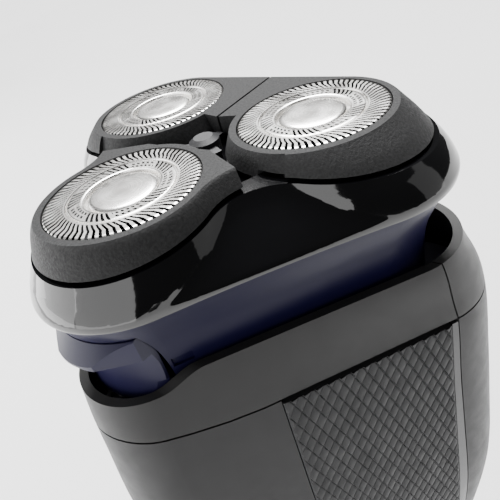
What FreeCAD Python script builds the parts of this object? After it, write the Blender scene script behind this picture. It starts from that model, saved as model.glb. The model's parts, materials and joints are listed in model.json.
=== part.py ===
"""Rotary electric shaver: three floating cutters on a flip-open head, free-standing handle.

Millimetres. +Z runs up the handle, -Y is the front (release button and on/off slider),
X is the width. The base stands on z = 0 and the axis of the cutting head is x = y = 0.
Heights named "below" are measured down from the cutting plane.
"""
import FreeCAD, Part
import math
import os
from FreeCAD import Placement, Rotation, Vector

# ---------------------------------------------------------------- driving dimensions
HEIGHT = 160.0                      # cutting plane above the base
CUTTER_AXES = {"front": (0.0, -14.8), "right": (14.0, 7.4), "left": (-14.0, 7.4)}
DRIVE_CENTRE = (0.0, 0.7)           # point at equal distance from the three cutter axes
CAP_RADIUS = 10.1                   # slotted cap, visible disc
CAP_FLANGE_RADIUS = 10.7
HOLDER_BORE = 10.22
HOLDER_RIM_RADIUS = 12.4            # of the holders' inner walls, at their foot
HOLDER_RIM_TOP_RADIUS = 11.2
HOLDER_FOOT_BELOW = 2.7
DECK_BORE = 11.0
SEAM_GAP = 0.22                     # shadow line between fixed covers
PAD_GAP = 0.45                      # wider shadow line over the grip pads
WALL = 1.8                          # handle shell
THIN_WALL = 1.3                     # collar and back collar
RIM_BELOW = 19.5                    # top edge of the collar
RIM_FRONT_BELOW = 21.4              # the edge dips round the release button
SEAM_BELOW = 30.7                   # collar to handle seam at the sides
SEAM_FRONT_BELOW = 26.8             # and at the nose
BACK_SPLIT_Y = 6.6                  # front and back handle shells meet here
BASE_HEIGHT = 6.0
SIDE_ANGLE = -35.7                  # outward normal of the right side, degrees from +X
MIDDLE_RADIUS = 14.1                # the deck is sunk round the drive centre
DECK_BELOW = 3.6
TILT_RADIUS = 26.9                  # holder pivots, from the drive centre
TILT_BELOW = 4.9
HINGE_Y, HINGE_BELOW = 17.6, 10.6   # flip-open hinge of the head
HINGE_PIN_RADIUS = 0.8
LOCK_SHAFT_RADIUS = 1.5
RUNNING = 0.05                      # radial clearance of shafts and pins
GEAR_TEETH, PINION_TEETH = 42, 20
GEAR_TOP_BELOW, GEAR_THICKNESS = 35.0, 2.2
SPINDLE_RADIUS = 1.5
MOTOR_RADIUS, MOTOR_TOP_BELOW, MOTOR_LENGTH = 12.0, 42.4, 34.0
CELL_RADIUS, CELL_LENGTH, CELL_TOP_BELOW = 7.0, 48.0, 86.0
TRIMMER_HALF_WIDTH = 17.0
TRIMMER_HINGE_Y, TRIMMER_HINGE_BELOW = 19.9, 70.0
TRIMMER_TOP_BELOW = 46.4
CATCH_Y, CATCH_BELOW = 22.1, 80.6      # recess of the trimmer catch
INLET_Y = -11.0

# Outer sections of the handle: below, front centre y, front r, back x, back y, back r
HANDLE_KEYS = [
    (18.0, -21.3, 9.5, 21.4, 9.0, 10.2),
    (24.0, -22.5, 9.3, 22.5, 10.6, 10.4),
    (31.0, -23.7, 9.1, 23.3, 12.3, 10.7),
    (46.0, -24.8, 9.6, 23.7, 12.8, 10.9),
    (68.0, -24.9, 10.4, 24.0, 12.6, 11.2),
    (96.0, -21.4, 11.4, 20.4, 10.4, 11.6),
    (126.0, -15.6, 12.2, 15.6, 7.6, 11.8),
    (160.0, -13.8, 12.4, 14.4, 6.9, 11.8),
]
# Hair chamber: narrows in a concave sweep from under the lip of the head
CHAMBER_SECTIONS = [
    (9.3, -17.8, 12.2, 20.2, 6.4, 10.7),
    (11.2, -17.7, 11.7, 19.8, 6.5, 10.4),
    (14.4, -17.5, 10.8, 18.9, 6.5, 9.8),
    (19.0, -17.4, 10.2, 18.2, 6.5, 9.4),
    (27.4, -17.3, 10.0, 18.0, 6.5, 9.2),
]
# Head above the lip; the seventh value is the curvature of the hollow in each side
HOLDER_KEYS = [
    (0.0, -14.8, 11.2, 14.0, 7.2, 11.2, 0.119),
    (0.3, -14.8, 11.5, 14.1, 7.2, 11.45, 0.120),
    (0.9, -14.85, 11.85, 14.6, 7.1, 11.65, 0.124),
    (2.2, -14.9, 12.4, 15.8, 7.0, 11.9, 0.122),
    (4.2, -15.2, 12.95, 17.1, 7.0, 12.3, 0.094),
]
SHELL_KEYS = [
    (1.6, -14.8, 12.2, 15.3, 7.0, 11.8, 0.125),
    (2.3, -14.9, 12.45, 15.9, 7.0, 11.95, 0.121),
    (4.0, -15.15, 13.05, 17.1, 7.0, 12.3, 0.095),
    (5.5, -15.55, 13.55, 18.0, 7.1, 12.75, 0.055),
    (7.0, -16.15, 13.85, 18.6, 7.15, 13.05, 0.022),
    (8.3, -16.6, 13.95, 18.9, 7.2, 13.2, 0.006),
    (8.9, -16.7, 13.85, 18.9, 7.2, 13.1, 0.004),
]

RADIAL = {n: math.atan2(y - DRIVE_CENTRE[1], x - DRIVE_CENTRE[0]) for n, (x, y) in CUTTER_AXES.items()}


# ---------------------------------------------------------------- helpers
def up(below):
    """Height above the base of a level given below the cutting plane."""
    return HEIGHT - below


def save(shape, node):
    """Write one node and print what it holds."""
    clean = shape.removeSplitter() if shape.ShapeType != "Compound" else shape
    clean.exportStep("parts/%s.step" % node)
    print("%-24s solids %d volume %9.1f valid %s" % (node, len(clean.Solids), clean.Volume, clean.isValid()))


def box(x0, x1, y0, y1, z0, z1):
    return Part.makeBox(x1 - x0, y1 - y0, z1 - z0, Vector(x0, y0, z0))


def cylinder(radius, x, y, z0, z1):
    return Part.makeCylinder(radius, z1 - z0, Vector(x, y, z0))


def ring(outer, inner, x, y, z0, z1):
    return cylinder(outer, x, y, z0, z1).cut(cylinder(inner, x, y, z0 - 1, z1 + 1))


def cross_pin(radius, x0, x1, y, z):
    """Round bar along X."""
    return Part.makeCylinder(radius, x1 - x0, Vector(x0, y, z), Vector(1, 0, 0))


def mirrored(shape):
    """The same piece on the other side of the shaver."""
    return shape.mirror(Vector(0, 0, 0), Vector(1, 0, 0))


def polygon(points):
    """Closed wire through 3-D points."""
    return Part.makePolygon([Vector(*p) for p in points + points[:1]])


def prism_z(points, z0, z1):
    face = Part.Face(polygon([(x, y, z0) for x, y in points]))
    return face.extrude(Vector(0, 0, z1 - z0))


def prism_x(points, x0, x1):
    """Profile in Y and Z, carried along X."""
    face = Part.Face(polygon([(x0, y, z) for y, z in points]))
    return face.extrude(Vector(x1 - x0, 0, 0))


def on_circle(centre, radius, angle, z):
    return Vector(centre[0] + radius * math.cos(angle), centre[1] + radius * math.sin(angle), z)


def arc(centre, radius, start, end, z):
    """Arc from one angle to another, by its middle."""
    middle = (start + end) / 2
    points = [on_circle(centre, radius, a, z) for a in (start, middle, end)]
    return Part.Arc(*points).toShape()


def outline(section, inset=0.0, z=None):
    """Head and handle outline: a front corner and two back corners.

    The corners are joined by tangent lines, or at the two sides by a hollow arc
    where the section gives a seventh value, the curvature of that hollow.
    """
    below, front_y, front_r, back_x, back_y, back_r = section[:6]
    level = up(below) if z is None else z
    front_r, back_r = front_r - inset, back_r - inset
    front, right, left = (0.0, front_y), (back_x, back_y), (-back_x, back_y)
    span = math.hypot(back_x, back_y - front_y)
    slope = math.atan2(back_y - front_y, back_x)
    if len(section) == 7:
        hollow = 1 / section[6] + inset
        near, far = front_r + hollow, back_r + hollow
        turn = math.acos((near ** 2 + span ** 2 - far ** 2) / (2 * near * span))
        out = slope - turn
        hub = (near * math.cos(out), front_y + near * math.sin(out))
        back_in = math.atan2(hub[1] - back_y, hub[0] - back_x)
        edge_angles = (out, back_in)
        start, end = out + math.pi, back_in + math.pi
        side = arc(hub, hollow, start, end, level)
        mirror_hub = (-hub[0], hub[1])
        other = arc(mirror_hub, hollow, math.pi - end, math.pi - start, level)
    else:
        out = slope - math.acos((front_r - back_r) / span)
        edge_angles = (out, out)
        side = Part.makeLine(on_circle(front, front_r, out, level), on_circle(right, back_r, out, level))
        other = Part.makeLine(on_circle(left, back_r, math.pi - out, level),
                              on_circle(front, front_r, math.pi - out, level))
    out_front, out_back = edge_angles
    half_turn = math.pi / 2
    edges = [
        arc(front, front_r, -math.pi - out_front, out_front, level),
        side,
        arc(right, back_r, out_back, half_turn, level),
        Part.makeLine(on_circle(right, back_r, half_turn, level), on_circle(left, back_r, half_turn, level)),
        arc(left, back_r, half_turn, math.pi - out_back, level),
        other,
    ]
    return Part.Wire(edges)


def slope(keys, i, column):
    """Slope of one column at a key, flat at a turning point so that nothing overshoots."""
    rates = []
    for j in (i - 1, i):
        if 0 <= j < len(keys) - 1:
            run = keys[j + 1][0] - keys[j][0]
            rates.append((keys[j + 1][column] - keys[j][column]) / run)
    if len(rates) == 1:
        return rates[0]
    return 2 * rates[0] * rates[1] / (rates[0] + rates[1]) if rates[0] * rates[1] > 0 else 0.0


def section_at(keys, below):
    """Section at any level, on cubics through the keys."""
    i = max(j for j in range(len(keys) - 1) if keys[j][0] <= below + 1e-9)
    run = keys[i + 1][0] - keys[i][0]
    t = (below - keys[i][0]) / run
    values = [below]
    for column in range(1, len(keys[0])):
        start, end = keys[i][column], keys[i + 1][column]
        lead, tail = slope(keys, i, column) * run, slope(keys, i + 1, column) * run
        ease = t * t * (3 - 2 * t)
        bend = t * (1 - t) * (lead * (1 - t) - tail * t)
        values.append(start + (end - start) * ease + bend)
    return tuple(values)


def even_sections(keys, count):
    """Sections at even levels from the first key to the last."""
    top, run = keys[0][0], keys[-1][0] - keys[0][0]
    return [section_at(keys, top + run * i / count) for i in range(count + 1)]


def loft(sections, inset=0.0):
    return Part.makeLoft([outline(s, inset) for s in sections], True, False, False, 3)


def dome(top_below, radius):
    """Everything under a shallow dome centred on the head."""
    middle = Vector(DRIVE_CENTRE[0], DRIVE_CENTRE[1], up(top_below) - radius)
    return Part.makeSphere(radius, middle)


def side_frame(shape):
    """Carry a shape from the side view (s, outward, z) onto the right flank."""
    return shape.copy().transformGeometry(
        Placement(Vector(0, 0, 0), Rotation(Vector(0, 0, 1), 90 + SIDE_ANGLE)).toMatrix())


def gear(teeth, module, thickness, bore, phase):
    """Spur gear with straight-flanked teeth and a generous backlash."""
    pitch = module * teeth / 2
    root, tip = pitch - 1.2 * module, pitch + 0.8 * module
    step = 2 * math.pi / teeth
    points = []
    for i in range(teeth):
        for radius, share in ((root, -0.27), (tip, -0.10), (tip, 0.10), (root, 0.27)):
            angle = phase + step * (i + share)
            points.append((radius * math.cos(angle), radius * math.sin(angle)))
    body = prism_z(points, 0, thickness)
    return body.cut(cylinder(bore, 0, 0, -1, thickness + 1))


HANDLE_SECTIONS = even_sections(HANDLE_KEYS, 20)
HOLDER_SECTIONS = even_sections(HOLDER_KEYS, 12)
SHELL_SECTIONS = even_sections(SHELL_KEYS, 14)


# ---------------------------------------------------------------- head above the lip
def holder_sector(name):
    """Plan region that belongs to one cutter holder, with a leaning wall round the cutter."""
    x, y = CUTTER_AXES[name]
    far = 60.0
    z0, z1 = up(8), up(-4)
    lean = (HOLDER_RIM_RADIUS - HOLDER_RIM_TOP_RADIUS) / HOLDER_FOOT_BELOW
    disc = Part.makeCone(HOLDER_RIM_TOP_RADIUS + 8 * lean, HOLDER_RIM_TOP_RADIUS - 4 * lean, 12, Vector(x, y, z0))
    if name == "front":
        out = math.radians(SIDE_ANGLE)
        corner = (12.2, -7.4)
        edge = (corner[0] + far * math.cos(out), corner[1] + far * math.sin(out))
        flank = (5.6, -4.3)
        right = [flank, corner, edge, (far, -far)]
        left = [(-px, py) for px, py in reversed(right)]
        return disc.fuse(prism_z(right + left, z0, z1))
    turn = math.radians(-76)
    foot = (14.0 + far * math.cos(turn), y + far * math.sin(turn))
    points = [(0.2, far), (0.2, 4.6), (14.0, y), foot, (far, 0), (far, far)]
    half = prism_z(points, z0, z1)
    return disc.fuse(half if x > 0 else mirrored(half))


def tilt_axis(name):
    """Centre of a holder's pivot and the direction of its pin."""
    angle = RADIAL[name]
    x = DRIVE_CENTRE[0] + TILT_RADIUS * math.cos(angle)
    y = DRIVE_CENTRE[1] + TILT_RADIUS * math.sin(angle)
    return Vector(x, y, up(TILT_BELOW)), Vector(-math.sin(angle), math.cos(angle), 0)


def bar(centre, direction, radius, length):
    """Round bar centred on a point."""
    return Part.makeCylinder(radius, length, centre - direction * (length / 2), direction)


def lug_block(name, width, inward, outward, below_top, below_bottom):
    """Upright block at a holder's pivot, from so far inward of it to so far outward."""
    centre, direction = tilt_axis(name)
    block = box(-inward, outward, -width / 2, width / 2, up(below_bottom), up(below_top))
    turn = math.degrees(RADIAL[name])
    block.Placement = Placement(Vector(centre.x, centre.y, 0), Rotation(Vector(0, 0, 1), turn))
    return block


def middle_column(below_top):
    """Round column over the sunk middle of the deck, down from one level."""
    return cylinder(MIDDLE_RADIUS, DRIVE_CENTRE[0], DRIVE_CENTRE[1], up(10), up(below_top))


def cutter_holder(name):
    """Textured holder round one cutter, with the lug that it tilts on."""
    x, y = CUTTER_AXES[name]
    body = loft(HOLDER_SECTIONS).common(holder_sector(name))
    body = body.cut(dome(1.3, 180.0).cut(middle_column(0)))
    body = body.cut(middle_column(HOLDER_FOOT_BELOW))
    body = body.cut(cylinder(HOLDER_BORE, x, y, up(6), up(-2)))
    body = body.cut(cylinder(CAP_FLANGE_RADIUS + 0.12, x, y, up(6), up(1.4)))
    centre, direction = tilt_axis(name)
    lug = lug_block(name, 5.0, 0.35, 0.6, 2.6, TILT_BELOW)
    lug = lug.fuse(bar(centre, direction, 0.95, 5.0))
    return body.fuse(lug).cut(bar(centre, direction, 0.5 + RUNNING, 9.0))


def head_shell():
    """Gloss shell: a domed deck with three bores and a sunk middle, flaring down to a lip."""
    outer = loft(SHELL_SECTIONS).common(dome(1.9, 190.0))
    outer = outer.cut(middle_column(1.0).cut(middle_column(DECK_BELOW)))
    x, y = DRIVE_CENTRE
    lower = [s for s in SHELL_SECTIONS if s[0] > 5.0]
    shell = outer.cut(loft(lower + [(11.0,) + SHELL_KEYS[-1][1:]], 1.5))
    shell = shell.fuse(cylinder(3.2, x, y, up(6.1), up(4.5)))
    for name, (ax, ay) in CUTTER_AXES.items():
        ears = lug_block(name, 9.4, 2.0, 3.0, 4.0, TILT_BELOW + 1.4)
        shell = shell.fuse(ears.common(outer))
        shell = shell.cut(cylinder(DECK_BORE, ax, ay, up(12), up(0)))
        shell = shell.cut(lug_block(name, 5.6, 2.6, 1.15, 1.0, 12))
        shell = shell.cut(bar(*tilt_axis(name), 0.5, 8.4))
    knuckle = cross_pin(1.7, -6.0, 6.0, HINGE_Y, up(HINGE_BELOW))
    web = box(-6.0, 6.0, HINGE_Y - 0.9, HINGE_Y + 1.7, up(HINGE_BELOW), up(6.0))
    shell = shell.fuse([knuckle, web])
    shell = shell.cut(cylinder(LOCK_SHAFT_RADIUS + RUNNING, x, y, up(8), up(3.0)))
    return shell.cut(cross_pin(HINGE_PIN_RADIUS + RUNNING, -7, 7, HINGE_Y, up(HINGE_BELOW)))


def centre_hub():
    """Small hub with three arms in the middle, between the holders."""
    x, y = DRIVE_CENTRE
    hub = cylinder(2.2, x, y, up(3.6), up(1.6))
    hub = hub.fuse(Part.makeCone(2.2, 1.4, 0.5, Vector(x, y, up(1.6))))
    for angle in RADIAL.values():
        arm = box(0, 4.3, -0.6, 0.6, up(3.6), up(2.2))
        arm.Placement = Placement(Vector(x, y, 0), Rotation(Vector(0, 0, 1), math.degrees(angle) + 180))
        hub = hub.fuse(arm)
    keep = box(-9, 9, -3.0, 4.2, up(4), up(0))
    for ax, ay in CUTTER_AXES.values():
        keep = keep.cut(cylinder(HOLDER_RIM_RADIUS + 0.4, ax, ay, up(5), up(-1)))
    return hub.common(keep)


def slotted_cap(name):
    """Thin steel cap: two raised shaving tracks, a groove between, a plain centre disc."""
    x, y = CUTTER_AXES[name]
    cap = cylinder(CAP_RADIUS, x, y, up(2.5), up(0))
    cap = cap.fuse(cylinder(CAP_FLANGE_RADIUS, x, y, up(2.5), up(1.75)))
    cap = cap.cut(cylinder(CAP_RADIUS - 0.4, x, y, up(3), up(0.5)))
    cap = cap.cut(ring(7.15, 6.75, x, y, up(0.16), up(-1)))
    cap = cap.cut(ring(4.85, 4.45, x, y, up(0.25), up(-1)))
    return cap


def inner_cutter(name):
    """Ring of fifteen lifting blades on a driven hub."""
    x, y = CUTTER_AXES[name]
    disc = ring(9.2, 3.0, 0, 0, up(3.1), up(2.3))
    hub = cylinder(3.4, 0, 0, up(6.2), up(2.3))
    cutter = disc.fuse(hub)
    for i in range(15):
        blade = box(7.0, 9.2, -0.28, 0.28, up(2.4), up(0.65))
        cutter = cutter.fuse(blade.rotated(Vector(0, 0, 0), Vector(0, 0, 1), i * 24))
    cutter = cutter.cut(box(-1.1, 1.1, -2.6, 2.6, up(7), up(3.4)))
    cutter.translate(Vector(x, y, 0))
    return cutter


def retaining_frame():
    """Frame under the cutters, clamped to the boss of the head by the lock wheel."""
    x, y = DRIVE_CENTRE
    frame = cylinder(7.5, x, y, up(7.4), up(6.1))
    for ax, ay in CUTTER_AXES.values():
        frame = frame.fuse(cylinder(10.6, ax, ay, up(7.4), up(6.1)))
    for ax, ay in CUTTER_AXES.values():
        frame = frame.cut(cylinder(6.4, ax, ay, up(9), up(5)))
    for name in CUTTER_AXES:
        frame = frame.cut(lug_block(name, 10.4, 3.3, 3.0, 1.0, 12))
    return frame.cut(cylinder(LOCK_SHAFT_RADIUS + RUNNING, x, y, up(9), up(5)))


def lock_wheel():
    """Quarter-turn wheel that locks the retaining frame in the head."""
    x, y = DRIVE_CENTRE
    wheel = cylinder(5.2, x, y, up(9.2), up(7.7))
    wheel = wheel.fuse(cylinder(LOCK_SHAFT_RADIUS, x, y, up(7.8), up(4.6)))
    for i in range(12):
        flute = cylinder(0.6, 5.5, 0, up(10), up(7)).rotated(Vector(0, 0, 0), Vector(0, 0, 1), i * 30)
        wheel = wheel.cut(flute.translated(Vector(x, y, 0)))
    return wheel.fuse(box(x - 3.8, x + 3.8, y - 0.7, y + 0.7, up(11.2), up(9.1)))


# ---------------------------------------------------------------- hair chamber and button
def button_block(gap):
    """Space taken by the release button at the nose; gap widens it to its pocket."""
    half = 7.6 + gap
    return box(-half, half, -40, -24.4 + gap * 4, up(22.6 + gap), up(12.0 - gap))


def release_button():
    """Button with a hollow face and a leaning ledge for the fingertip, cut back at its ends."""
    profile = [(7.0, 22.6), (11.3, 22.6), (10.6, 18.9), (10.9, 15.5), (13.6, 14.9), (13.8, 14.5), (11.8, 12.0),
               (7.0, 12.0)]
    points = [Vector(r, -17.4, up(below)) for r, below in profile]
    hollow = Part.Arc(points[1], points[2], points[3]).toShape()
    edges = [Part.makeLine(points[0], points[1]), hollow]
    edges += [Part.makeLine(points[i], points[i + 1]) for i in range(3, 7)]
    edges.append(Part.makeLine(points[7], points[0]))
    turned = Part.Face(Part.Wire(edges)).revolve(Vector(0, -17.4, 0), Vector(0, 0, 1), 360)
    ends = prism_z([(7.6, -20), (7.6, -26.6), (1.0, -32.6), (-1.0, -32.6), (-7.6, -26.6), (-7.6, -20)], up(23), up(11))
    button = turned.common(button_block(0)).common(ends).common(cylinder(9.7, 0, -21.4, up(23), up(11)))
    collar_room = box(-9, 9, -40, -20, up(23), up(20.4)).cut(loft(HANDLE_SECTIONS, THIN_WALL + 0.3))
    return button.cut(collar_room)


def hair_chamber():
    """Open-topped chamber under the cutters; three spindles pass through its floor."""
    outer = loft(CHAMBER_SECTIONS)
    cavity = loft([(8.0,) + CHAMBER_SECTIONS[0][1:]] + CHAMBER_SECTIONS[1:4]
                  + [(25.8,) + CHAMBER_SECTIONS[4][1:]], 1.6)
    cavity = cavity.common(box(-50, 50, -22.4, 50, up(30), up(5)))
    chamber = outer.cut(cavity)
    chamber = chamber.cut(button_block(0.3))
    for x, y in CUTTER_AXES.values():
        chamber = chamber.cut(cylinder(2.3, x, y, up(30), up(20)))
    hinge_gap = box(-6.4, 6.4, HINGE_Y - 2.3, HINGE_Y + 4, up(HINGE_BELOW + 2.3), up(8))
    chamber = chamber.cut(hinge_gap)
    for side in (-1, 1):
        x0, x1 = sorted((side * 6.5, side * 9.5))
        ear = cross_pin(1.8, x0, x1, HINGE_Y, up(HINGE_BELOW))
        ear = ear.fuse(box(x0, x1, HINGE_Y - 3.2, HINGE_Y, up(HINGE_BELOW + 3.0), up(HINGE_BELOW - 1.2)))
        chamber = chamber.fuse(ear)
        window = side_window() if side > 0 else mirrored(side_window())
        chamber = chamber.cut(window)
    return chamber.cut(cross_pin(HINGE_PIN_RADIUS, -9.0, 9.0, HINGE_Y, up(HINGE_BELOW)))


def side_window():
    """Shallow latch window beside the button, just above the collar."""
    return side_frame(box(-14.4, -11.6, -23.5, -19.9, up(19.4), up(17.9)))


def hinge_pin():
    return cross_pin(HINGE_PIN_RADIUS, -9.0, 9.0, HINGE_Y, up(HINGE_BELOW))


# ---------------------------------------------------------------- handle covers
def rim_cut():
    """Everything above the collar's top edge, which dips at the nose."""
    side_z, front_z, top = up(RIM_BELOW), up(RIM_FRONT_BELOW), up(0)
    steps = [i / 10 for i in range(11)]
    dip = [(-21.6 - 5.4 * t, side_z + (front_z - side_z) * t * t * (3 - 2 * t)) for t in steps]
    return prism_x([(60, side_z)] + dip + [(-60, front_z), (-60, top), (60, top)], -60, 60)


def seam_cut(shift=0.0):
    """Everything above the collar's lower seam, which rises to the nose."""
    side_z, front_z, top = up(SEAM_BELOW) + shift, up(SEAM_FRONT_BELOW) + shift, up(0) + 20
    rise = [(-18 - 4 * i, side_z + (front_z - side_z) * (i / 4) ** 1.6) for i in range(5)]
    return prism_x([(60, side_z)] + rise + [(-60, front_z), (-60, top), (60, top)], -60, 60)


def behind(y_top, y_bottom, below_top, below_bottom):
    """Everything behind a plane that may lean."""
    return prism_x([(y_top, up(below_top)), (y_bottom, up(below_bottom)), (60, up(below_bottom)),
                    (60, up(below_top))], -60, 60)


def skin(sections, wall):
    return loft(sections).cut(loft(sections, wall))


def collar():
    """Band round the head of the handle, open at the back."""
    band = skin(HANDLE_SECTIONS, THIN_WALL).common(seam_cut(SEAM_GAP)).cut(rim_cut())
    return band.cut(behind(4.3, 7.0, 16.0, 33.0))


def back_collar():
    """Open-topped back of the collar, with a gap round the hair chamber."""
    band = skin(HANDLE_SECTIONS, THIN_WALL).common(seam_cut(SEAM_GAP)).cut(rim_cut())
    return band.common(behind(4.3 + SEAM_GAP, 7.0 + SEAM_GAP, 16.0, 33.0))


def side_panel(s0, s1, below_top, below_bottom, corner):
    """Region of the right flank between two upright lines, rounded at the foot."""
    z0, z1 = up(below_bottom), up(below_top)
    panel = box(s0, s1, -45, -15, z0, z1)
    feet = [e for e in panel.Edges if abs(e.BoundBox.ZMax - z0) < 0.01 and e.BoundBox.YLength > 10]
    return side_frame(panel.makeFillet(corner, feet)) if corner else side_frame(panel)


GRIP = (-3.3, 23.1, 20.0, 112.0, 5.0)
STRIP = (23.3, 26.5, 20.0, 112.0, 0.0)


def grip_pad(region, proud):
    """Inlay on the right flank, following the handle."""
    outer = loft(HANDLE_SECTIONS, -proud)
    core = loft(HANDLE_SECTIONS, 1.0)
    pad = outer.cut(core).common(side_panel(*region)).cut(seam_cut(-PAD_GAP))
    return pad.common(box(0, 60, -60, BACK_SPLIT_Y, 0, HEIGHT))


def grip_recess():
    grown = []
    for s0, s1, top, bottom, corner in (GRIP, STRIP):
        grown.append(side_panel(s0 - 0.12, s1 + 0.12, top - 5, bottom + 0.12, corner))
    recess = loft(HANDLE_SECTIONS, -1.5).cut(loft(HANDLE_SECTIONS, 1.1))
    return recess.common(grown[0].fuse(grown[1]))


def slider_track(margin):
    """Flat-bottomed recess for the on/off slider at the front."""
    return box(-6.0 - margin, 6.0 + margin, -60, -34.2, up(87.0 + margin), up(69.0 - margin))


def front_shell():
    shell = skin(HANDLE_SECTIONS, WALL).cut(seam_cut(-SEAM_GAP / 2))
    shell = shell.common(box(-60, 60, -60, BACK_SPLIT_Y, BASE_HEIGHT + SEAM_GAP, HEIGHT))
    recess = grip_recess()
    shell = shell.cut(recess).cut(mirrored(recess))
    shell = shell.cut(slider_track(0.0))
    shell = shell.cut(box(-1.7, 1.7, -60, -25, up(82.0), up(74.0)))
    return shell.cut(Part.makeCylinder(1.3, 30, Vector(0, -50, up(93)), Vector(0, 1, 0)))


def trimmer_opening(margin):
    half = TRIMMER_HALF_WIDTH - 0.6 + margin
    top, bottom = TRIMMER_TOP_BELOW - 0.2, TRIMMER_HINGE_BELOW + 3.6
    return box(-half, half, 15.6 - margin, 60, up(bottom + margin), up(top - margin))


def back_shell():
    shell = skin(HANDLE_SECTIONS, WALL).cut(seam_cut(-SEAM_GAP / 2))
    shell = shell.common(box(-60, 60, BACK_SPLIT_Y + SEAM_GAP, 60, BASE_HEIGHT + SEAM_GAP, HEIGHT))
    shell = shell.cut(trimmer_opening(0.9))
    shell = shell.cut(box(-5.2, 5.2, CATCH_Y, 60, up(CATCH_BELOW + 8.6), up(CATCH_BELOW - 3.6)))
    return shell.cut(box(-1.6, 1.6, 15, 60, up(CATCH_BELOW + 5.1), up(CATCH_BELOW - 0.4)))


def base_cap():
    """Foot of the handle, with a recess for the power inlet."""
    cap = loft(HANDLE_SECTIONS).common(box(-60, 60, -60, 60, 0, BASE_HEIGHT))
    rim = [e for e in cap.Edges if e.BoundBox.ZMax < 0.01]
    cap = cap.makeChamfer(0.9, rim)
    spigot = loft(HANDLE_SECTIONS, WALL + 0.12).common(box(-60, 60, -60, 60, 1, BASE_HEIGHT + 3))
    hollow = loft(HANDLE_SECTIONS, WALL + 1.5).common(box(-60, 60, -60, 60, 2.0, BASE_HEIGHT + 4))
    return cap.fuse(spigot).cut(hollow).cut(inlet_body(0.1))


def inlet_body(margin=0.0):
    half_x, half_y = 6.5 + margin, 4.6 + margin
    return box(-half_x, half_x, INLET_Y - half_y, INLET_Y + half_y, -1, 13.0 + margin)


def power_inlet():
    body = inlet_body().common(box(-20, 20, -40, 20, 0.4, 20))
    socket = box(-4.6, 4.6, INLET_Y - 2.9, INLET_Y + 2.9, -1, 11.0)
    corners = [e for e in socket.Edges if e.BoundBox.ZLength > 10]
    body = body.cut(socket.makeFillet(2.4, corners))
    return body.cut(inlet_pins())


def inlet_pins():
    pins = [cylinder(0.8, side * 2.1, INLET_Y, 4.7, 15.5) for side in (-1, 1)]
    return Part.makeCompound(pins)


# ---------------------------------------------------------------- drive train
def drive_radius():
    x, y = CUTTER_AXES["front"]
    return math.hypot(x - DRIVE_CENTRE[0], y - DRIVE_CENTRE[1])


def gear_module():
    return 2 * drive_radius() / (GEAR_TEETH + PINION_TEETH)


def drive_gear(name):
    """Gear under one cutter, turned so that it meshes with the pinion."""
    x, y = CUTTER_AXES[name]
    tooth, pinion_tooth = 2 * math.pi / GEAR_TEETH, 2 * math.pi / PINION_TEETH
    offset = (RADIAL[name] - RADIAL["front"]) / pinion_tooth % 1.0
    phase = RADIAL[name] + math.pi + (offset + 0.5) * tooth
    wheel = gear(GEAR_TEETH, gear_module(), GEAR_THICKNESS, SPINDLE_RADIUS, phase)
    return wheel.translated(Vector(x, y, up(GEAR_TOP_BELOW + GEAR_THICKNESS)))


def motor_pinion():
    """Pinion on the motor's shaft, with a tooth pointing at the front gear."""
    x, y = DRIVE_CENTRE
    wheel = gear(PINION_TEETH, gear_module(), GEAR_THICKNESS, 0.5, RADIAL["front"])
    wheel = wheel.translated(Vector(x, y, up(GEAR_TOP_BELOW + GEAR_THICKNESS)))
    return wheel.fuse(cylinder(1.0, x, y, up(68), up(GEAR_TOP_BELOW - 0.6)))


def drive_spindle(name):
    """Shaft from a drive gear to the slot in the cutter's hub."""
    x, y = CUTTER_AXES[name]
    shaft = cylinder(SPINDLE_RADIUS, x, y, up(40.6), up(6.9))
    tip = box(x - 0.6, x + 0.6, y - 2.1, y + 2.1, up(7.2), up(5.3))
    return shaft.fuse(tip)


def drive_plate(below_top, below_bottom, holes):
    """Plate across the inside of the handle with a hole for each shaft."""
    body = loft(HANDLE_SECTIONS, WALL + 0.1).common(box(-60, 60, -60, 60, up(below_bottom), up(below_top)))
    for x, y, radius in holes:
        body = body.cut(cylinder(radius, x, y, up(below_bottom + 1), up(below_top - 1)))
    return body


def top_deck():
    holes = [(x, y, SPINDLE_RADIUS + RUNNING) for x, y in CUTTER_AXES.values()]
    body = drive_plate(29.6, 31.4, holes)
    for x, y in CUTTER_AXES.values():
        body = body.fuse(ring(3.6, 2.6, x, y, up(29.7), up(27.4)))
    return body


def spindle_seals():
    rings = [ring(2.6, SPINDLE_RADIUS + RUNNING, x, y, up(29.6), up(28.3)) for x, y in CUTTER_AXES.values()]
    return Part.makeCompound(rings)


def gear_plate():
    holes = [(x, y, SPINDLE_RADIUS + RUNNING) for x, y in CUTTER_AXES.values()]
    holes.append((DRIVE_CENTRE[0], DRIVE_CENTRE[1], 2.2))
    body = drive_plate(38.6, 41.2, holes)
    for x, y in screw_places():
        body = body.fuse(cylinder(2.4, x, y, up(38.7), up(31.4)))
        body = body.cut(cylinder(1.0, x, y, up(42), up(28)))
    return body


def screw_places():
    """Posts between the two plates."""
    return [(0, 18.2), (14.6, -9.6), (-14.6, -9.6)]


def plate_screws():
    screws = [cylinder(1.0, x, y, up(44.0), up(33.0)).fuse(cylinder(1.9, x, y, up(42.6), up(41.2)))
              for x, y in screw_places()]
    return Part.makeCompound(screws)


def motor_can():
    x, y = DRIVE_CENTRE
    can = cylinder(MOTOR_RADIUS, x, y, up(MOTOR_TOP_BELOW + MOTOR_LENGTH), up(MOTOR_TOP_BELOW))
    can = can.fuse(cylinder(4.0, x, y, up(MOTOR_TOP_BELOW + 0.1), up(41.2)))
    can = can.common(box(-20, 20, y - 9.6, y + 9.6, up(90), up(30)))
    return can.cut(cylinder(1.0 + RUNNING, x, y, up(68.5), up(30)))


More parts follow.
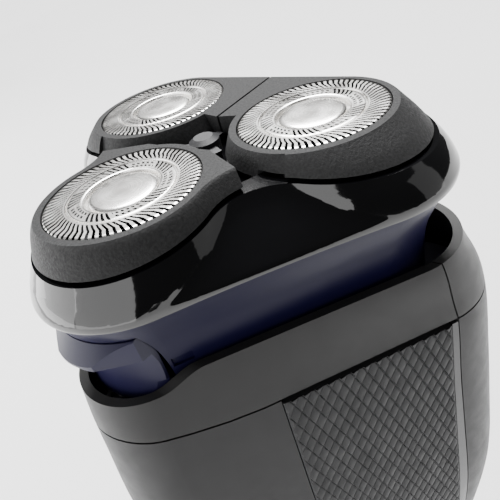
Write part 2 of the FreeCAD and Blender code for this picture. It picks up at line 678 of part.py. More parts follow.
def chassis():
    """Shelf under the motor, two rails beside it and a tray round the cells."""
    shelf = box(-40, 40, -14.8, 40, up(78.2), up(76.6))
    rails = [box(side * 13.4 - 0.9, side * 13.4 + 0.9, -5, 6, up(78), up(41.2)) for side in (-1, 1)]
    tray = box(-15.6, 15.6, -10.6, -9.2, up(136), up(77.5))
    ends = [box(-15.6, 15.6, -10.6, 6.0, up(below + 1.4), up(below)) for below in (82.6, 136.0)]
    return shelf.fuse(rails + [tray] + ends).common(loft(HANDLE_SECTIONS, WALL + 0.5))


def cell(side):
    body = cylinder(CELL_RADIUS, side * 7.3, -1.8, up(CELL_TOP_BELOW + CELL_LENGTH), up(CELL_TOP_BELOW))
    return body.fuse(cylinder(2.6, side * 7.3, -1.8, up(CELL_TOP_BELOW + 0.1), up(CELL_TOP_BELOW - 1.2)))


def cell_contacts():
    tabs = [box(side * 7.3 - 2.5, side * 7.3 + 2.5, -4.3, 0.7, up(84.8), up(84.2)) for side in (-1, 1)]
    link = box(-10, 10, -3.5, -0.5, up(135.4), up(134.4))
    return Part.makeCompound(tabs + [link])


def circuit_board():
    return box(-9.5, 9.5, -16.6, -15.2, up(132), up(66))


def board_components():
    blocks = [
        box(-5, 5, -18.4, -16.6, up(112), up(102)),
        box(-7.5, -3.5, -20.6, -16.6, up(124), up(116)),
        cylinder(2.6, 4.5, -19.3, up(126), up(116)),
        box(-2.0, 2.0, -25.4, -16.6, up(95), up(91)),
    ]
    return Part.makeCompound(blocks)


def slide_switch():
    """Body of the on/off switch on the board."""
    body = box(-4.2, 4.2, -24.6, -16.6, up(86), up(70))
    return body.cut(box(-1.9, 1.9, -30, -22.0, up(83), up(73)))


def switch_slider():
    """On/off slider that rides in its recess at the front."""
    knob = box(-5.4, 5.4, -36.4, -34.4, up(86.2), up(74.4))
    face = [e for e in knob.Edges if abs(e.BoundBox.YMin + 36.4) < 0.01 and e.BoundBox.YLength < 0.01]
    knob = knob.makeFillet(1.1, face)
    for i in range(5):
        knob = knob.cut(cross_pin(0.35, -4, 4, -36.5, up(77.2 + 1.6 * i)))
    stem = box(-1.3, 1.3, -35.0, -22.6, up(81.5), up(79.0))
    return knob.fuse(stem)


def led_lens():
    return Part.makeCylinder(1.25, 7.8, Vector(0, -33.3, up(93)), Vector(0, 1, 0))


# ---------------------------------------------------------------- pop-up trimmer
def trimmer_bay():
    """Tray in the back of the handle that the trimmer folds into."""
    tray = trimmer_opening(0.8).common(box(-60, 60, -60, 22.4, up(80), up(20)))
    return tray.cut(trimmer_opening(0.0)).cut(trimmer_pin())


def trimmer_housing():
    """Folding arm of the trimmer, rounded about its hinge."""
    y, z, radius = TRIMMER_HINGE_Y, up(TRIMMER_HINGE_BELOW), 2.7
    half = TRIMMER_HALF_WIDTH - 1.3
    arm = box(-half, half, y - radius, 23.0, z, up(TRIMMER_TOP_BELOW + 2.4))
    foot = cross_pin(radius, -half, half, y, z)
    arm = arm.fuse(foot)
    for i in range(4):
        arm = arm.cut(cross_pin(0.4, -8, 8, 23.1, z + 3.0 + 2.0 * i))
    arm = arm.cut(box(-half + 1.5, half - 1.5, y - 0.9, y + 0.4, up(TRIMMER_TOP_BELOW + 6), up(30)))
    return arm.cut(cross_pin(0.9 + RUNNING, -30, 30, y, z))


def trimmer_pin():
    half = TRIMMER_HALF_WIDTH - 0.1
    return cross_pin(0.9, -half, half, TRIMMER_HINGE_Y, up(TRIMMER_HINGE_BELOW))


def toothed_plate(half, y0, y1, below_root, below_tip, pitch, below_foot):
    """Flat blade with a row of pointed teeth along its top edge."""
    count = int(2 * (half - 0.4) / pitch)
    start = -count * pitch / 2
    points = [(-half, up(below_foot)), (half, up(below_foot)), (half, up(below_root))]
    for i in range(count, 0, -1):
        right = start + i * pitch
        points += [(right - 0.1 * pitch, up(below_root)), (right - 0.35 * pitch, up(below_tip)),
                   (right - 0.65 * pitch, up(below_tip)), (right - 0.9 * pitch, up(below_root))]
    points.append((-half, up(below_root)))
    face = Part.Face(polygon([(x, y0, z) for x, z in points]))
    return face.extrude(Vector(0, y1 - y0, 0))


def trimmer_comb():
    half = TRIMMER_HALF_WIDTH - 1.6
    return toothed_plate(half, 21.0, 21.8, TRIMMER_TOP_BELOW + 2.3, TRIMMER_TOP_BELOW + 0.2, 1.2,
                         TRIMMER_TOP_BELOW + 2.4)


def trimmer_blade():
    half = TRIMMER_HALF_WIDTH - 4.4
    return toothed_plate(half, 19.15, 20.1, TRIMMER_TOP_BELOW + 2.0, TRIMMER_TOP_BELOW + 0.6, 1.2,
                         TRIMMER_TOP_BELOW + 5.6)


def trimmer_slide():
    """Thumb slide that releases the trimmer."""
    low, high, face_y = CATCH_BELOW + 8.2, CATCH_BELOW, CATCH_Y + 1.9
    knob = box(-4.8, 4.8, CATCH_Y + 0.1, face_y, up(low), up(high))
    face = [e for e in knob.Edges if abs(e.BoundBox.YMax - face_y) < 0.01 and e.BoundBox.YLength < 0.01]
    knob = knob.makeFillet(0.7, face)
    for i in range(3):
        knob = knob.cut(cross_pin(0.35, -3.4, 3.4, face_y + 0.1, up(high + 2.3 + 1.8 * i)))
    return knob.fuse(box(-1.2, 1.2, CATCH_Y - 2.2, CATCH_Y + 0.2, up(high + 4.8), up(high + 3.0)))


# ---------------------------------------------------------------- build
def build():
    os.makedirs("parts", exist_ok=True)
    for name in CUTTER_AXES:
        centre, direction = tilt_axis(name)
        save(cutter_holder(name), "cutter_holder_%s" % name)
        save(bar(centre, direction, 0.5, 8.4), "holder_pin_%s" % name)
        save(slotted_cap(name), "slotted_cap_%s" % name)
        save(inner_cutter(name), "inner_cutter_%s" % name)
        save(drive_gear(name), "drive_gear_%s" % name)
        save(drive_spindle(name), "drive_spindle_%s" % name)
    for side, sign in (("left", -1), ("right", 1)):
        pad, strip = grip_pad(GRIP, 0.25), grip_pad(STRIP, 0.05)
        save(pad if sign > 0 else mirrored(pad), "grip_pad_%s" % side)
        save(strip if sign > 0 else mirrored(strip), "trim_strip_%s" % side)
        save(cell(sign), "battery_%s" % side)
    singles = [head_shell, centre_hub, retaining_frame, lock_wheel, release_button, hair_chamber, hinge_pin,
               collar, back_collar, front_shell, back_shell, base_cap, power_inlet, inlet_pins,
               motor_pinion, top_deck, spindle_seals, gear_plate, plate_screws, motor_can,
               chassis, cell_contacts, circuit_board, board_components, slide_switch, switch_slider,
               led_lens, trimmer_bay, trimmer_housing, trimmer_pin, trimmer_comb, trimmer_blade,
               trimmer_slide]
    for maker in singles:
        save(maker(), maker.__name__)


build()
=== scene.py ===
import json
import math

import bmesh
import bpy
from mathutils import Matrix, Vector
from mathutils.bvhtree import BVHTree


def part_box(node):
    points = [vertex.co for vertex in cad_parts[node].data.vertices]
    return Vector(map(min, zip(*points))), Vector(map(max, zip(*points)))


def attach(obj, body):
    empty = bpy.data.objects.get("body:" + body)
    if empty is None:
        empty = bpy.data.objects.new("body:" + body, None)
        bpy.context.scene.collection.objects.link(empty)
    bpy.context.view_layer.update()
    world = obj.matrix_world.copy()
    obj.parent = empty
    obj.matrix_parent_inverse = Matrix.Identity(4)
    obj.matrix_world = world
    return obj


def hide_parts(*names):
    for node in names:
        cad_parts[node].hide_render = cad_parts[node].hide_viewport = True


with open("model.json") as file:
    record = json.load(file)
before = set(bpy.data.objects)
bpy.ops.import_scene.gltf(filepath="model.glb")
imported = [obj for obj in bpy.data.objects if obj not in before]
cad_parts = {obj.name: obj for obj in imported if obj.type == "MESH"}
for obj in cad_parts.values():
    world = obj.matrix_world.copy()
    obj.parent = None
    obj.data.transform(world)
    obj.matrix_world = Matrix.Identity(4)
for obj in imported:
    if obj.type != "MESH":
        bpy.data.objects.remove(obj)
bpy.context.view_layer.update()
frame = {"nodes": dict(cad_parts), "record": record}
NODES = frame["nodes"]
MM = 0.001
CUTTERS = ("front", "right", "left")


# ---------------------------------------------------------------- frame measures
def middle(node):
    low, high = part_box(node)
    return (low + high) / 2


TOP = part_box("slotted_cap_front")[1].z
AXES = {name: middle("slotted_cap_" + name) for name in CUTTERS}
CAP_RADIUS = 10.1 * MM
HEAD = Vector((0.0, 0.0, TOP))


# ---------------------------------------------------------------- materials
class Nodes:
    """A material's node tree with short calls for the nodes that repeat."""

    def __init__(self, name):
        self.material = bpy.data.materials.new(name)
        self.material.use_nodes = True
        self.tree = self.material.node_tree
        self.shader = self.tree.nodes["Principled BSDF"]
        self.coords = self.tree.nodes.new("ShaderNodeTexCoord").outputs["Object"]

    def link(self, a, b):
        self.tree.links.new(a, b)

    def put(self, **values):
        for key, value in values.items():
            self.shader.inputs[key.replace("_", " ")].default_value = value

    def scaled(self, scale):
        mapping = self.tree.nodes.new("ShaderNodeMapping")
        mapping.inputs["Scale"].default_value = scale
        self.link(self.coords, mapping.inputs["Vector"])
        return mapping.outputs["Vector"]

    def noise(self, scale, detail=2.0, rough=0.5, vector=None):
        node = self.tree.nodes.new("ShaderNodeTexNoise")
        node.inputs["Scale"].default_value = scale
        node.inputs["Detail"].default_value = detail
        node.inputs["Roughness"].default_value = rough
        self.link(vector or self.coords, node.inputs["Vector"])
        return node.outputs["Fac"]

    def ramp(self, value, low, high, stops=(0.3, 0.7)):
        node = self.tree.nodes.new("ShaderNodeValToRGB")
        for element, stop, colour in zip(node.color_ramp.elements, stops, (low, high)):
            element.position = stop
            element.color = (*colour, 1.0)
        self.link(value, node.inputs["Fac"])
        return node.outputs["Color"]

    def span(self, value, low, high, start=0.0, end=1.0):
        node = self.tree.nodes.new("ShaderNodeMapRange")
        node.inputs["From Min"].default_value = start
        node.inputs["From Max"].default_value = end
        node.inputs["To Min"].default_value = low
        node.inputs["To Max"].default_value = high
        self.link(value, node.inputs["Value"])
        return node.outputs["Result"]

    def math(self, operation, a, b):
        node = self.tree.nodes.new("ShaderNodeMath")
        node.operation = operation
        for socket, value in zip(node.inputs, (a, b)):
            if isinstance(value, (int, float)):
                socket.default_value = value
            else:
                self.link(value, socket)
        return node.outputs["Value"]

    def bump(self, height, strength, distance):
        node = self.tree.nodes.new("ShaderNodeBump")
        node.inputs["Strength"].default_value = strength
        node.inputs["Distance"].default_value = distance
        self.link(height, node.inputs["Height"])
        self.link(node.outputs["Normal"], self.shader.inputs["Normal"])

    def colour(self, socket):
        self.link(socket, self.shader.inputs["Base Color"])

    def rough(self, socket):
        self.link(socket, self.shader.inputs["Roughness"])


def plastic(name, base, rough=(0.35, 0.5), spread=0.12, grain=0.0, grain_scale=9000.0, coat=0.0,
            coat_rough=0.05, specular=0.5, detail=4.0):
    """Moulded plastic: slight colour drift, uneven gloss and a fine grain."""
    n = Nodes(name)
    low = tuple(c * (1 - spread) for c in base)
    high = tuple(c * (1 + spread) for c in base)
    n.colour(n.ramp(n.noise(160.0, 3.0), low, high))
    n.rough(n.span(n.noise(105.0 * detail, detail), rough[0], rough[1], 0.3, 0.7))
    n.put(Coat_Weight=coat, Coat_Roughness=coat_rough, Specular_IOR_Level=specular)
    if grain:
        n.bump(n.noise(grain_scale, 2.0, 0.6), grain, 0.00008)
    return n.material


def pebbled(name, base, strength=0.5):
    """Fine textured matte plastic, the pits a little darker than the tops: painted shade that follows the
    bump.
    """
    n = Nodes(name)
    cells = n.noise(3000.0, 3.0, 0.65)
    # painted shade: the colour follows the bump height, darker in the pits and lighter on the tops
    n.colour(n.ramp(cells, tuple(c * 0.72 for c in base), tuple(c * 1.22 for c in base), (0.32, 0.68)))
    n.rough(n.span(cells, 0.62, 0.46, 0.3, 0.7))
    n.put(Specular_IOR_Level=0.12)
    n.bump(cells, strength, 0.00014)
    return n.material


def metal(name, base, rough=(0.22, 0.36), streaks=(900.0, 900.0, 60.0), bump=0.05):
    """Steel with fine drawn or turned marks."""
    n = Nodes(name)
    marks = n.noise(1.0, 3.0, 0.6, n.scaled(streaks))
    n.colour(n.ramp(marks, tuple(c * 0.86 for c in base), tuple(min(1.0, c * 1.08) for c in base)))
    n.rough(n.span(marks, rough[0], rough[1], 0.3, 0.7))
    n.put(Metallic=1.0)
    n.bump(marks, bump, 0.00003)
    return n.material


MATERIALS = {
    "holder_grey": pebbled("holder_grey", (0.035, 0.035, 0.0355), 0.7),
    "steel": metal("steel", (0.60, 0.60, 0.61)),
    "cutter_steel": metal("cutter_steel", (0.80, 0.77, 0.72), (0.16, 0.30)),
    "inner_steel": metal("inner_steel", (0.06, 0.06, 0.063)),
    "gear_white": plastic("gear_white", (0.72, 0.72, 0.68)),
    "grip_rubber": plastic("grip_rubber", (0.017, 0.017, 0.018), (0.46, 0.60), grain=0.15, specular=0.25),
    "strip_black": plastic("strip_black", (0.020, 0.020, 0.022), (0.18, 0.28)),
    "cell_green": plastic("cell_green", (0.06, 0.24, 0.13)),
    "shell_black": plastic("shell_black", (0.0025, 0.0025, 0.003), (0.05, 0.09), coat=0.3, coat_rough=0.03),
    "hub_black": plastic("hub_black", (0.020, 0.020, 0.022), (0.4, 0.5), grain=0.2),
    "frame_grey": plastic("frame_grey", (0.16, 0.16, 0.17)),
    "wheel_blue": plastic("wheel_blue", (0.05, 0.09, 0.24)),
    "indigo": plastic("indigo", (0.008, 0.0068, 0.034), (0.30, 0.34), spread=0.05, specular=0.14, detail=0.5),
    "indigo_button": plastic("indigo_button", (0.012, 0.0105, 0.042), (0.30, 0.34), spread=0.05,
                             specular=0.22, detail=0.5),
    "collar_grey": plastic("collar_grey", (0.022, 0.0215, 0.0215), (0.38, 0.46), spread=0.05, grain=0.12,
                           grain_scale=14000.0, specular=0.2),
    "body_grey": plastic("body_grey", (0.022, 0.0215, 0.022), (0.38, 0.48), spread=0.05, grain=0.12,
                         grain_scale=14000.0, specular=0.2),
    "foot_black": plastic("foot_black", (0.022, 0.022, 0.024), (0.45, 0.6), grain=0.3),
    "inlet_black": plastic("inlet_black", (0.014, 0.014, 0.015), (0.4, 0.5)),
    "contact_brass": metal("contact_brass", (0.78, 0.58, 0.26)),
    "seal_rubber": plastic("seal_rubber", (0.025, 0.025, 0.025), (0.6, 0.75), grain=0.3),
    "motor_steel": metal("motor_steel", (0.50, 0.50, 0.51), streaks=(60.0, 60.0, 900.0)),
    "board_green": plastic("board_green", (0.02, 0.14, 0.06), (0.2, 0.3)),
    "component_black": plastic("component_black", (0.02, 0.02, 0.02)),
    "slider_grey": plastic("slider_grey", (0.12, 0.12, 0.125), (0.28, 0.38), coat=0.2),
    "lens_green": plastic("lens_green", (0.10, 0.50, 0.16), (0.05, 0.1), coat=0.5),
    "trimmer_grey": plastic("trimmer_grey", (0.045, 0.045, 0.048), (0.35, 0.45), grain=0.15),
}
for entry in frame["record"]["subparts"]:
    data = NODES[entry["node"]].data
    data.materials.clear()
    data.materials.append(MATERIALS[entry["material_slot"]])


# ---------------------------------------------------------------- slotted caps
ANGLE_STEPS = 720
TRACK_DEPTH = 0.12 * MM
# Profile of a cap from its centre outwards: share of the radius, depth below the cutting plane in mm
PROFILE = (
    (0.06, 0.02), (0.18, 0.03), (0.30, 0.07), (0.38, 0.13), (0.42, 0.22), (0.438, 0.36),
    (0.448, 0.80), (0.480, 0.80), (0.486, 0.22), (0.493, 0.06), (0.505, 0.0),
    (0.52, 0.0), (0.528, 0.0), (0.57, 0.0), (0.598, 0.0), (0.64, 0.0), (0.655, 0.0), (0.675, 0.0),
    (0.683, 0.04), (0.688, 0.28), (0.703, 0.28), (0.708, 0.10), (0.716, 0.0),
    (0.735, 0.0), (0.765, 0.0), (0.80, 0.0), (0.83, 0.0), (0.86, 0.0), (0.90, 0.0), (0.94, 0.0), (0.972, 0.0),
    (0.985, 0.04), (0.995, 0.12), (1.0, 0.30), (1.0, 1.74), (1.056, 1.76), (1.056, 2.4),
)
# Tracks and rows, as shares of the radius
OUTER_TRACK = (0.735, 0.995)
INNER_SLOTS = (0.52, 0.675)
HOLE_ROWS = ((0.528, 0.57), (0.598, 0.64))
GROOVE, KINK = 0.71, 0.86               # middle of the groove, and the bend in the outer slots
# Spacing and openings, in steps round the circle
OUTER_STEPS, OUTER_OPEN = 10, 5
INNER_STEPS, INNER_OPEN = 13, 7
INNER_GROUPS, SLOTS_IN_GROUP = 5, 5     # five groups of five slots, with rows of holes between them
GAP_BEFORE_HOLES, GAP_AFTER_HOLES = 4, 6
ROW_OFFSET = 6                          # the outer row of holes stands between those of the inner row
CAP_TURN = 7.0                          # so that the three caps don't stand alike


def slant(share):
    """Turn of the slots with radius, in steps round the circle: steeper on the inner half of a track."""
    if share > KINK:
        return 5.0 * (share - KINK) / (1 - KINK)
    if share > GROOVE:
        return 17.0 * (share - KINK) / (KINK - GROOVE)
    return -17.0 + 22.0 * (share - GROOVE) / 0.20


def is_open(inner, outer, step):
    """Whether the cell between two radii, at one step round the circle, is cut through."""
    if OUTER_TRACK[0] <= inner and outer <= OUTER_TRACK[1]:
        return step % OUTER_STEPS < OUTER_OPEN
    group = ANGLE_STEPS // INNER_GROUPS
    place = step % group
    slots = SLOTS_IN_GROUP * INNER_STEPS
    if INNER_SLOTS[0] <= inner and outer <= INNER_SLOTS[1] and place < slots:
        return place % INNER_STEPS < INNER_OPEN
    for row, (low, high) in enumerate(HOLE_ROWS):
        if low <= inner and outer <= high and slots + GAP_BEFORE_HOLES <= place < group - GAP_AFTER_HOLES:
            return (place + row * ROW_OFFSET) % INNER_STEPS < INNER_OPEN
    return False


def cap_rings(bm, axis, turn):
    """Rings of vertices, one for each station of the profile."""
    rings = []
    for share, depth in PROFILE:
        ring = []
        for i in range(ANGLE_STEPS):
            angle = 2 * math.pi * (i + slant(min(share, 1.0)) + turn) / ANGLE_STEPS
            reach = share * CAP_RADIUS
            ring.append(bm.verts.new((axis.x + reach * math.cos(angle), axis.y + reach * math.sin(angle),
                                      TOP - depth * MM)))
        rings.append(ring)
    return rings


def thicken(bm, rim):
    """Walls down from every slot and hole, but not from the outer rim."""
    edges = [e for e in bm.edges if e.is_boundary and not (e.verts[0] in rim and e.verts[1] in rim)]
    for part in bmesh.ops.extrude_edge_only(bm, edges=edges)["geom"]:
        if isinstance(part, bmesh.types.BMVert):
            part.co.z -= TRACK_DEPTH


def cap_mesh(name, axis, turn):
    """Cap with its slots and holes cut through a thin wall."""
    bm = bmesh.new()
    rings = cap_rings(bm, axis, turn)
    centre = bm.verts.new((axis.x, axis.y, TOP - 0.03 * MM))
    for i in range(ANGLE_STEPS):
        bm.faces.new((centre, rings[0][i], rings[0][(i + 1) % ANGLE_STEPS]))
    for k in range(len(rings) - 1):
        inner, outer = PROFILE[k][0], PROFILE[k + 1][0]
        for i in range(ANGLE_STEPS):
            if not is_open(inner, outer, i):
                j = (i + 1) % ANGLE_STEPS
                bm.faces.new((rings[k][i], rings[k + 1][i], rings[k + 1][j], rings[k][j]))
    thicken(bm, set(rings[-1]))
    bmesh.ops.delete(bm, geom=[v for v in bm.verts if not v.link_faces], context="VERTS")
    bmesh.ops.recalc_face_normals(bm, faces=bm.faces)
    mesh = bpy.data.meshes.new(name)
    bm.to_mesh(mesh)
    bm.free()
    return mesh


def smooth(mesh, angle=35.0):
    """Smooth shading with creases where faces meet more sharply than the angle."""
    mesh.polygons.foreach_set("use_smooth", [True] * len(mesh.polygons))
    bm = bmesh.new()
    bm.from_mesh(mesh)
    limit = math.radians(angle)
    for edge in bm.edges:
        edge.smooth = len(edge.link_faces) == 2 and edge.calc_face_angle(0.0) < limit
    bm.to_mesh(mesh)
    bm.free()


def piece(name, mesh, material, body):
    """Object that rides on a body and takes its finish from a material slot."""
    obj = bpy.data.objects.new(name, mesh)
    bpy.context.scene.collection.objects.link(obj)
    mesh.materials.append(material)
    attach(obj, body)
    return obj


def turned_steel(name, axis):
    """Bright steel with fine rings round one cap's axis."""
    n = Nodes(name)
    shift = n.tree.nodes.new("ShaderNodeVectorMath")
    shift.operation = "SUBTRACT"
    shift.inputs[1].default_value = (axis.x, axis.y, 0.0)
    n.link(n.coords, shift.inputs[0])
    flat = n.tree.nodes.new("ShaderNodeVectorMath")
    flat.operation = "MULTIPLY"
    flat.inputs[1].default_value = (1.0, 1.0, 0.0)
    n.link(shift.outputs["Vector"], flat.inputs[0])
    reach = n.tree.nodes.new("ShaderNodeVectorMath")
    reach.operation = "LENGTH"
    n.link(flat.outputs["Vector"], reach.inputs[0])
    line = n.tree.nodes.new("ShaderNodeCombineXYZ")
    n.link(reach.outputs["Value"], line.inputs["X"])
    rings = n.noise(9000.0, 2.0, 0.6, line.outputs["Vector"])
    drift = n.noise(320.0, 3.0)
    n.colour(n.ramp(drift, (0.90, 0.88, 0.85), (0.97, 0.96, 0.94)))
    n.rough(n.span(n.math("ADD", rings, drift), 0.17, 0.36, 0.6, 1.4))
    n.put(Metallic=1.0)
    n.bump(rings, 0.06, 0.00003)
    return n.material


def caps():
    """Three slotted caps in place of the plain ones."""
    for index, name in enumerate(CUTTERS):
        label = "cap_" + name
        mesh = cap_mesh(label, AXES[name], CAP_TURN * index)
        smooth(mesh)
        steel = turned_steel("turned_steel_" + name, AXES[name])
        obj = piece(label, mesh, steel, label)
        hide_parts("slotted_cap_" + name)


# ---------------------------------------------------------------- scales of the grips
SIDE_NORMAL = Vector((0.812, -0.5835, 0.0)).normalized()
SIDE_ALONG = Vector((0.5835, 0.812, 0.0)).normalized()
ACROSS_STEP = (1.19 * MM, 1.77 * MM)    # along the flank and upwards, from one scale to the next
ALONG_STEP = (0.67 * MM, -1.77 * MM)
SCALE_HEIGHT = 0.34 * MM
CORNER = 5.0 * MM                       # radius of the pad's lower corners
BORDER = 0.35 * MM                      # the scales reach full height this far in from the pad's edge
SINK, BORDER_SINK = 0.04 * MM, 0.06 * MM    # how far the skin starts under the face, and more at the edge
OUTER_FACE = 19.0 * MM                  # the pad's outer face lies further out than this
RAY = 50.0 * MM
EDGE = 0.02 * MM                        # rays stay this far inside the pad's sides
TOP_SPACING, TOP_STEP = 0.25 * MM, 0.05 * MM
TOP_TRIES = 160
# Share of a scale's height across it and along it: it drops at one edge and is crowned the other way
ACROSS = ((0.0, 0.0), (0.10, 1.0), (0.35, 0.86), (0.65, 0.70), (0.90, 0.56))
ALONG = ((0.0, 0.25), (0.10, 0.72), (0.35, 1.0), (0.65, 1.0), (0.90, 0.72))


def scale_stations(table, low, high):
    """Stations of one table repeated over whole cells."""
    return [(cell + place, share) for cell in range(low, high) for place, share in table]


class Pad:
    """One grip pad's outer face, reached by rays along the flank's normal."""

    def __init__(self, side):
        sign = 1.0 if side == "right" else -1.0
        data = NODES["grip_pad_" + side].data
        self.tree = BVHTree.FromPolygons([v.co for v in data.vertices], [p.vertices for p in data.polygons])
        self.normal = Vector((sign * SIDE_NORMAL.x, SIDE_NORMAL.y, 0.0))
        self.along = Vector((sign * SIDE_ALONG.x, SIDE_ALONG.y, 0.0))
        spans = [v.co.dot(self.along) for v in data.vertices if v.co.dot(self.normal) > OUTER_FACE]
        self.low_s, self.high_s = min(spans), max(spans)
        low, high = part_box("grip_pad_" + side)
        self.low_z, self.high_z = low.z, high.z
        self.tops = {}

    def cast(self, s, z):
        """Point of the face straight inwards from outside, or None past its edge."""
        start = self.along * s + self.normal * RAY + Vector((0, 0, z))
        return self.tree.ray_cast(start, -self.normal, RAY)[0]

    def inside(self, s):
        return min(max(s, self.low_s + EDGE), self.high_s - EDGE)

    def top(self, s):
        """Height of the top edge near one place along the pad."""
        key = round(s / TOP_SPACING)
        if key not in self.tops:
            near = self.inside(key * TOP_SPACING)
            heights = (self.high_z - TOP_STEP * (step + 0.5) for step in range(TOP_TRIES))
            self.tops[key] = next((z for z in heights if self.cast(near, z)), self.low_z)
        return self.tops[key]

    def point(self, s, z):
        """Point of the face, carried on straight past the side and top edges."""
        inner_s = self.inside(s)
        inner_z = min(z, self.top(inner_s) - TOP_STEP)
        hit = self.cast(inner_s, inner_z)
        if hit is None:
            return None
        return hit + self.along * (s - inner_s) + Vector((0, 0, z - inner_z))

    def rise(self, s, z):
        """Share of full height: nought at the sides and the rounded foot of the pad."""
        ds, dz = min(s - self.low_s, self.high_s - s), z - self.low_z
        border = min(ds, dz)
        if ds < CORNER and dz < CORNER:
            border = min(border, CORNER - math.hypot(CORNER - ds, CORNER - dz))
        return min(1.0, max(0.0, border / BORDER))


def lattice_range(width, height):
    """Whole cells needed both ways to cover a rectangle."""
    scale = ACROSS_STEP[0] * ALONG_STEP[1] - ALONG_STEP[0] * ACROSS_STEP[1]
    across, along = [], []
    for s, z in ((0, 0), (width, 0), (0, height), (width, height)):
        across.append((s * ALONG_STEP[1] - z * ALONG_STEP[0]) / scale)
        along.append((z * ACROSS_STEP[0] - s * ACROSS_STEP[1]) / scale)
    return [(math.floor(min(a)) - 1, math.ceil(max(a)) + 1) for a in (across, along)]


def scale_points(pad):
    """Raised points of the skin, by their column and row."""
    range_u, range_v = lattice_range(pad.high_s - pad.low_s, pad.high_z - pad.low_z)
    points = {}
    for i, (u, height_u) in enumerate(scale_stations(ACROSS, *range_u)):
        for j, (v, height_v) in enumerate(scale_stations(ALONG, *range_v)):
            s = pad.low_s + ACROSS_STEP[0] * u + ALONG_STEP[0] * v
            z = pad.low_z + ACROSS_STEP[1] * u + ALONG_STEP[1] * v
            if not (pad.low_s - MM < s < pad.high_s + MM and pad.low_z - MM < z < pad.high_z + MM):
                continue
            place = pad.point(s, z)
            if place is None:
                continue
            rise = pad.rise(s, z)
            lift = SCALE_HEIGHT * height_u * height_v * rise - SINK - BORDER_SINK * (1 - rise)
            points[i, j] = place + pad.normal * lift
    return points


def grip_scales(side):
    """Skin of overlapping scales over one grip pad, sinking into the pad at its border."""
    pad = Pad(side)
    bm = bmesh.new()
    grid = {key: bm.verts.new(place) for key, place in scale_points(pad).items()}
    for i, j in grid:
        cell = [grid.get(k) for k in ((i, j), (i, j + 1), (i + 1, j + 1), (i + 1, j))]
        if None not in cell:
            bm.faces.new(cell if side == "left" else cell[::-1])
    top = Vector((0, 0, max(pad.tops.values()) + EDGE))
    cuts = ((pad.along * pad.low_s, -pad.along), (pad.along * pad.high_s, pad.along),
            (top, Vector((0, 0, 1))))
    for place, direction in cuts:
        bmesh.ops.bisect_plane(bm, geom=bm.verts[:] + bm.edges[:] + bm.faces[:], plane_co=place,
                               plane_no=direction, clear_outer=True)
    mesh = bpy.data.meshes.new("grip_scales_" + side)
    bm.normal_update()
    bm.to_mesh(mesh)
    bm.free()
    smooth(mesh, 25.0)
    piece("grip_scales_" + side, mesh, MATERIALS["grip_rubber"], "handle")


caps()
for flank in ("right", "left"):
    grip_scales(flank)


# ---------------------------------------------------------------- room, light and camera
def lamp(name, light, place, direction):
    """Hang a light at a place, shining in one direction."""
    holder = bpy.data.objects.new(name, light)
    holder.location = place
    holder.rotation_euler = direction.to_track_quat("-Z", "Y").to_euler()
    bpy.context.scene.collection.objects.link(holder)


CAMERA_AZIMUTH, CAMERA_ELEVATION, CAMERA_ROLL = (math.radians(a) for a in (45.54, 35.18, 17.18))
CAMERA_PLACE = Vector((50.97, -47.09, 27.31)) * MM
SENSOR, LENS = 36.0, 38.05


def camera():
    """Close camera over the front right corner, turned a little about its own line of sight."""
    flat = math.cos(CAMERA_ELEVATION)
    back = Vector((math.sin(CAMERA_AZIMUTH) * flat, -math.cos(CAMERA_AZIMUTH) * flat,
                   math.sin(CAMERA_ELEVATION)))
    right = (-back).cross(Vector((0, 0, 1))).normalized()
    down = (-back).cross(right)
    side = math.cos(CAMERA_ROLL) * right + math.sin(CAMERA_ROLL) * down
    below = -math.sin(CAMERA_ROLL) * right + math.cos(CAMERA_ROLL) * down
    lens = bpy.data.cameras.new("camera")
    lens.sensor_width = SENSOR
    lens.lens = LENS
    lens.clip_start = 2.0 * MM
    view = bpy.data.objects.new("camera", lens)
    turn = Matrix((side, -below, back)).transposed().to_4x4()
    view.matrix_world = Matrix.Translation(HEAD + CAMERA_PLACE) @ turn
    bpy.context.scene.collection.objects.link(view)
    bpy.context.scene.camera = view


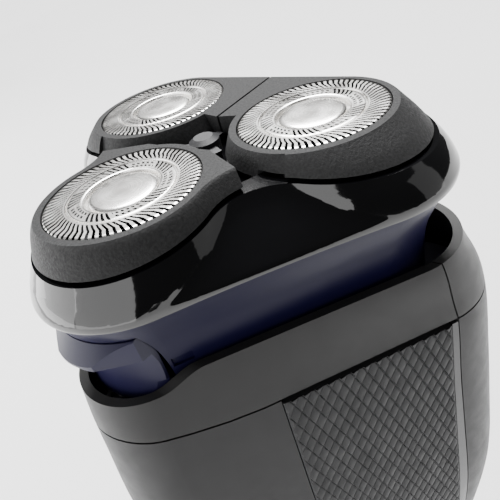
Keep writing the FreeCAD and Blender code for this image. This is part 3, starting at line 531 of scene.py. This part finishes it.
def pale_floor(reach):
    """Plain matte floor that throws no light back onto the shaver's matte parts."""
    mesh = bpy.data.meshes.new("floor")
    corners = [(-reach, -reach, 0), (reach, -reach, 0), (reach, reach, 0), (-reach, reach, 0)]
    mesh.from_pydata(corners, [], [(0, 1, 2, 3)])
    floor = bpy.data.objects.new("floor", mesh)
    bpy.context.scene.collection.objects.link(floor)
    n = Nodes("floor_paper")
    n.colour(n.ramp(n.noise(3.0, 2.0), (0.86, 0.86, 0.86), (0.90, 0.90, 0.90)))
    n.put(Roughness=0.7)
    mesh.materials.append(n.material)
    floor.visible_diffuse = False


def faint_sky():
    world = bpy.data.worlds.new("studio")
    world.use_nodes = True
    world.node_tree.nodes["Background"].inputs["Color"].default_value = (1.0, 1.0, 1.0, 1.0)
    world.node_tree.nodes["Background"].inputs["Strength"].default_value = 0.08
    bpy.context.scene.world = world


def soft_box(name, azimuth, elevation, distance, size, radiance):
    """Area light that faces the head from one direction, its power set by how bright it looks."""
    turn, rise = math.radians(azimuth), math.radians(elevation)
    toward = Vector((math.cos(turn) * math.cos(rise), math.sin(turn) * math.cos(rise), math.sin(rise)))
    light = bpy.data.lights.new(name, "AREA")
    light.shape = "RECTANGLE"
    light.size, light.size_y = size
    light.energy = radiance * math.pi * size[0] * size[1]
    lamp(name, light, HEAD + toward * distance, -toward)


def overhead():
    """Broad even light from above, the same over the whole floor."""
    light = bpy.data.lights.new("overhead", "SUN")
    light.energy = 10.5
    light.angle = math.radians(38)
    lamp("overhead", light, (0, 0, 0), Vector((0.35, -0.50, -1.0)))


# Name, azimuth and elevation in degrees, distance, size, and how bright it looks
SOFT_BOXES = (
    ("front", -86, 8, 0.60, (0.64, 0.42), 3.0),
    ("left", -149.2, 8, 0.60, (0.84, 0.42), 4.6),
    ("right", 25, 12, 0.60, (0.30, 0.40), 0.6),
    ("back_left", 135, 40, 0.70, (0.70, 0.45), 0.7),
)
camera()
pale_floor(3.0)
faint_sky()
overhead()
for box in SOFT_BOXES:
    soft_box(*box)
